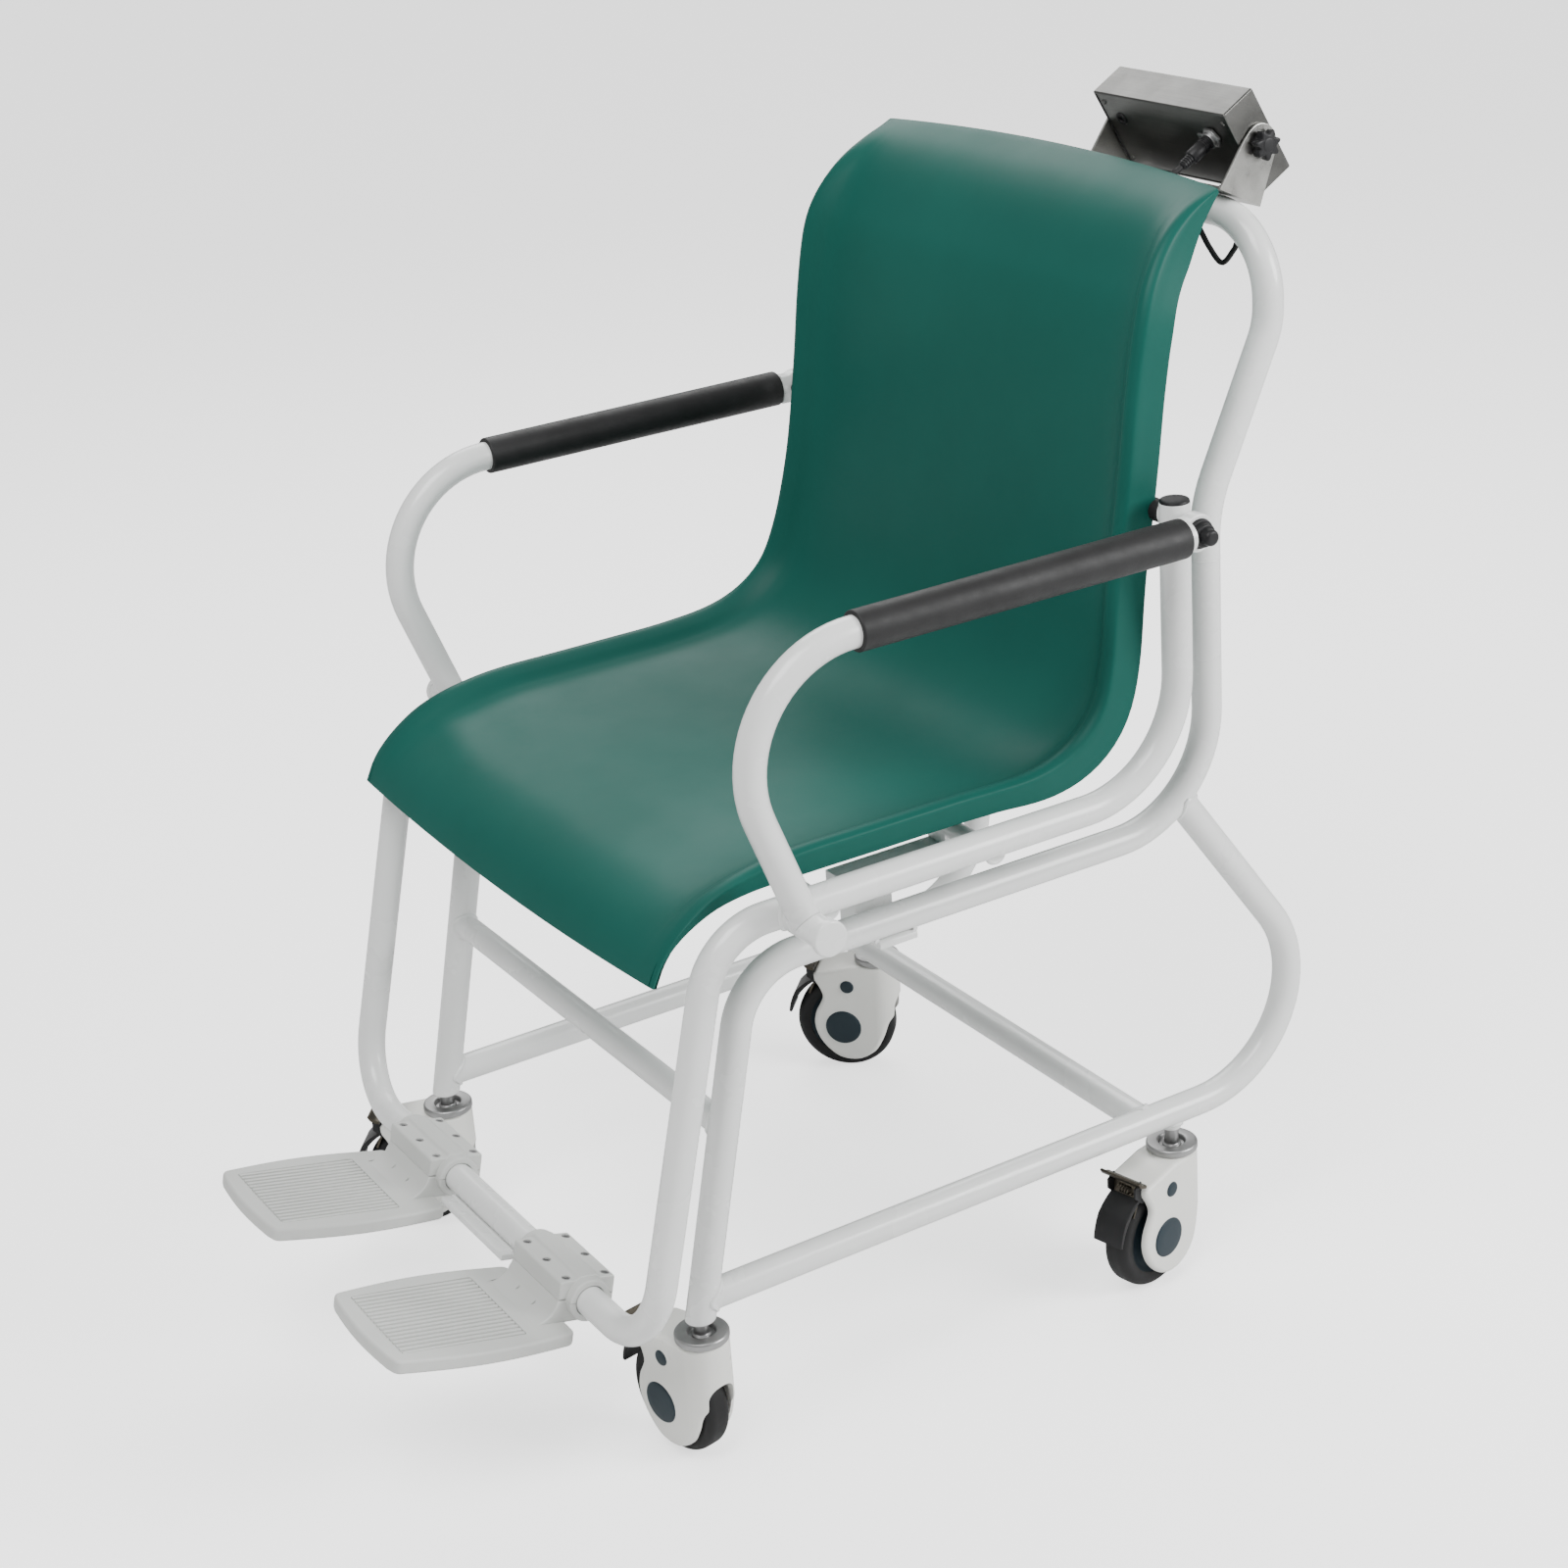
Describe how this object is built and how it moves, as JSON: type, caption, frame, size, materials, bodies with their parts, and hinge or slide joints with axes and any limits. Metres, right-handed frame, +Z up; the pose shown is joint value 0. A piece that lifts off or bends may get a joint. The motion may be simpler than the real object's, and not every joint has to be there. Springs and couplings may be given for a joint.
{
  "type": "chair scale",
  "caption": "Chair scale on braked castors with a moulded seat, armrests that swing up, footplates that fold up, a push handle and a tilting indicator.",
  "frame": {"origin": "on the floor, under the middle of the box round the object", "axes": "+Z up; the sitter faces -Y; +X is the sitter's left"},
  "size_m": [0.668, 0.8946, 1.0042],
  "materials": {
    "white_paint": "gloss white powder coat",
    "green_shell": "satin dark green moulding",
    "grey_plastic": "light grey ribbed moulding",
    "cream_plastic": "off-white moulding",
    "black_rubber": "black rubber",
    "black_plastic": "black plastic",
    "blue_grey_plastic": "dark blue-grey plastic",
    "stainless": "brushed stainless steel",
    "zinc_steel": "zinc plated steel",
    "aluminium": "plain aluminium",
    "window_glass": "dark clear window"
  },
  "bodies": {
    "frame": {"base_side_left": "white_paint", "base_side_right": "white_paint", "rear_loop_left": "white_paint", "rear_loop_right": "white_paint", "base_front_bar": "white_paint", "base_rear_bar": "white_paint", "push_handle": "white_paint", "castor_stem_front_left": "zinc_steel", "castor_stem_front_right": "zinc_steel", "castor_stem_rear_left": "zinc_steel", "castor_stem_rear_right": "zinc_steel", "seat_frame_left": "white_paint", "seat_frame_right": "white_paint", "tube_plug_left": "black_plastic", "tube_plug_right": "black_plastic", "footrest_bar": "white_paint", "seat_beam_front": "white_paint", "seat_beam_rear": "white_paint", "load_cell_left": "aluminium", "load_cell_right": "aluminium", "seat_shell": "green_shell", "arm_bolt_left": "black_plastic", "arm_bolt_right": "black_plastic", "indicator_bracket": "stainless", "indicator_cable": "black_rubber"},
    "castor_front_left": {"castor_fork_front_left": "cream_plastic", "castor_axle_front_left": "blue_grey_plastic"},
    "wheel_front_left": {"castor_wheel_front_left": "black_rubber"},
    "brake_front_left": {"castor_brake_front_left": "black_plastic"},
    "castor_front_right": {"castor_fork_front_right": "cream_plastic", "castor_axle_front_right": "blue_grey_plastic"},
    "wheel_front_right": {"castor_wheel_front_right": "black_rubber"},
    "brake_front_right": {"castor_brake_front_right": "black_plastic"},
    "castor_rear_left": {"castor_fork_rear_left": "cream_plastic", "castor_axle_rear_left": "blue_grey_plastic"},
    "wheel_rear_left": {"castor_wheel_rear_left": "black_rubber"},
    "brake_rear_left": {"castor_brake_rear_left": "black_plastic"},
    "castor_rear_right": {"castor_fork_rear_right": "cream_plastic", "castor_axle_rear_right": "blue_grey_plastic"},
    "wheel_rear_right": {"castor_wheel_rear_right": "black_rubber"},
    "brake_rear_right": {"castor_brake_rear_right": "black_plastic"},
    "armrest_left": {"arm_left": "white_paint", "arm_grip_left": "black_rubber"},
    "armrest_right": {"arm_right": "white_paint", "arm_grip_right": "black_rubber"},
    "footrest_left": {"footplate_left": "grey_plastic", "footplate_clamp_left": "grey_plastic"},
    "footrest_right": {"footplate_right": "grey_plastic", "footplate_clamp_right": "grey_plastic"},
    "indicator": {"indicator_case": "stainless", "indicator_cover": "stainless", "indicator_panel": "black_plastic", "indicator_window": "window_glass", "cable_socket": "zinc_steel", "cable_plug": "black_plastic"},
    "tilt_knob_left": {"tilt_knob_left": "black_plastic"},
    "tilt_knob_right": {"tilt_knob_right": "black_plastic"},
    "indicator_key_1": {"indicator_key_1": "grey_plastic"},
    "indicator_key_2": {"indicator_key_2": "grey_plastic"},
    "indicator_key_3": {"indicator_key_3": "grey_plastic"}
  },
  "joints": [
    {"name": "swivel_front_left", "type": "hinge", "parent": "frame", "child": "castor_front_left", "pos_m": [0.234, -0.20099, 0.11], "axis": [0, 0, 1], "continuous": true},
    {"name": "wheel_spin_front_left", "type": "hinge", "parent": "castor_front_left", "child": "wheel_front_left", "pos_m": [0.20052, -0.20689, 0.04957], "axis": [0.1736, -0.9848, 0], "continuous": true},
    {"name": "brake_pedal_front_left", "type": "hinge", "parent": "castor_front_left", "child": "brake_front_left", "pos_m": [0.20642, -0.20585, 0.09517], "axis": [0.1736, -0.9848, 0], "range_deg": [0, 5]},
    {"name": "swivel_front_right", "type": "hinge", "parent": "frame", "child": "castor_front_right", "pos_m": [-0.234, -0.20099, 0.11], "axis": [0, 0, 1], "continuous": true},
    {"name": "wheel_spin_front_right", "type": "hinge", "parent": "castor_front_right", "child": "wheel_front_right", "pos_m": [-0.25493, -0.22778, 0.04957], "axis": [0.788, -0.6157, 0], "continuous": true},
    {"name": "brake_pedal_front_right", "type": "hinge", "parent": "castor_front_right", "child": "brake_front_right", "pos_m": [-0.25124, -0.22305, 0.09517], "axis": [0.788, -0.6157, 0], "range_deg": [0, 5]},
    {"name": "swivel_rear_left", "type": "hinge", "parent": "frame", "child": "castor_rear_left", "pos_m": [0.234, 0.27601, 0.11], "axis": [0, 0, 1], "continuous": true},
    {"name": "wheel_spin_rear_left", "type": "hinge", "parent": "castor_rear_left", "child": "wheel_rear_left", "pos_m": [0.24165, 0.24288, 0.04957], "axis": [0.9744, 0.225, 0], "continuous": true},
    {"name": "brake_pedal_rear_left", "type": "hinge", "parent": "castor_rear_left", "child": "brake_rear_left", "pos_m": [0.2403, 0.24873, 0.09517], "axis": [0.9744, 0.225, 0], "range_deg": [0, 5]},
    {"name": "swivel_rear_right", "type": "hinge", "parent": "frame", "child": "castor_rear_right", "pos_m": [-0.234, 0.27601, 0.11], "axis": [0, 0, 1], "continuous": true},
    {"name": "wheel_spin_rear_right", "type": "hinge", "parent": "castor_rear_right", "child": "wheel_rear_right", "pos_m": [-0.25762, 0.25155, 0.04957], "axis": [0.7193, -0.6947, 0], "continuous": true},
    {"name": "brake_pedal_rear_right", "type": "hinge", "parent": "castor_rear_right", "child": "brake_rear_right", "pos_m": [-0.25345, 0.25587, 0.09517], "axis": [0.7193, -0.6947, 0], "range_deg": [0, 5]},
    {"name": "armrest_hinge_left", "type": "hinge", "parent": "frame", "child": "armrest_left", "pos_m": [0.3, 0.26201, 0.70017], "axis": [-1, 0, 0], "range_deg": [0, 105]},
    {"name": "armrest_hinge_right", "type": "hinge", "parent": "frame", "child": "armrest_right", "pos_m": [-0.3, 0.26201, 0.70017], "axis": [-1, 0, 0], "range_deg": [0, 105]},
    {"name": "footplate_hinge_left", "type": "hinge", "parent": "frame", "child": "footrest_left", "pos_m": [0.115, -0.26499, 0.14317], "axis": [-1, 0, 0], "range_deg": [0, 90]},
    {"name": "footplate_hinge_right", "type": "hinge", "parent": "frame", "child": "footrest_right", "pos_m": [-0.115, -0.26499, 0.14317], "axis": [-1, 0, 0], "range_deg": [0, 90]},
    {"name": "indicator_tilt", "type": "hinge", "parent": "frame", "child": "indicator", "pos_m": [0.108, 0.41434, 0.96385], "axis": [1, 0, 0], "range_deg": [-15, 12], "deforming": ["indicator_cable"]},
    {"name": "tilt_knob_turn_left", "type": "hinge", "parent": "frame", "child": "tilt_knob_left", "pos_m": [0.1956, 0.41434, 0.96385], "axis": [1, 0, 0], "range_deg": [-180, 180]},
    {"name": "tilt_knob_turn_right", "type": "hinge", "parent": "frame", "child": "tilt_knob_right", "pos_m": [0.0204, 0.41434, 0.96385], "axis": [-1, 0, 0], "range_deg": [-180, 180]},
    {"name": "key_press_1", "type": "slide", "parent": "indicator", "child": "indicator_key_1", "axis": [0, -0.8643, -0.503], "range_m": [0, 0.001], "stiffness_N_per_m": 400, "springref_m": -0.001},
    {"name": "key_press_2", "type": "slide", "parent": "indicator", "child": "indicator_key_2", "axis": [0, -0.8643, -0.503], "range_m": [0, 0.001], "stiffness_N_per_m": 400, "springref_m": -0.001},
    {"name": "key_press_3", "type": "slide", "parent": "indicator", "child": "indicator_key_3", "axis": [0, -0.8643, -0.503], "range_m": [0, 0.001], "stiffness_N_per_m": 400, "springref_m": -0.001}
  ]
}
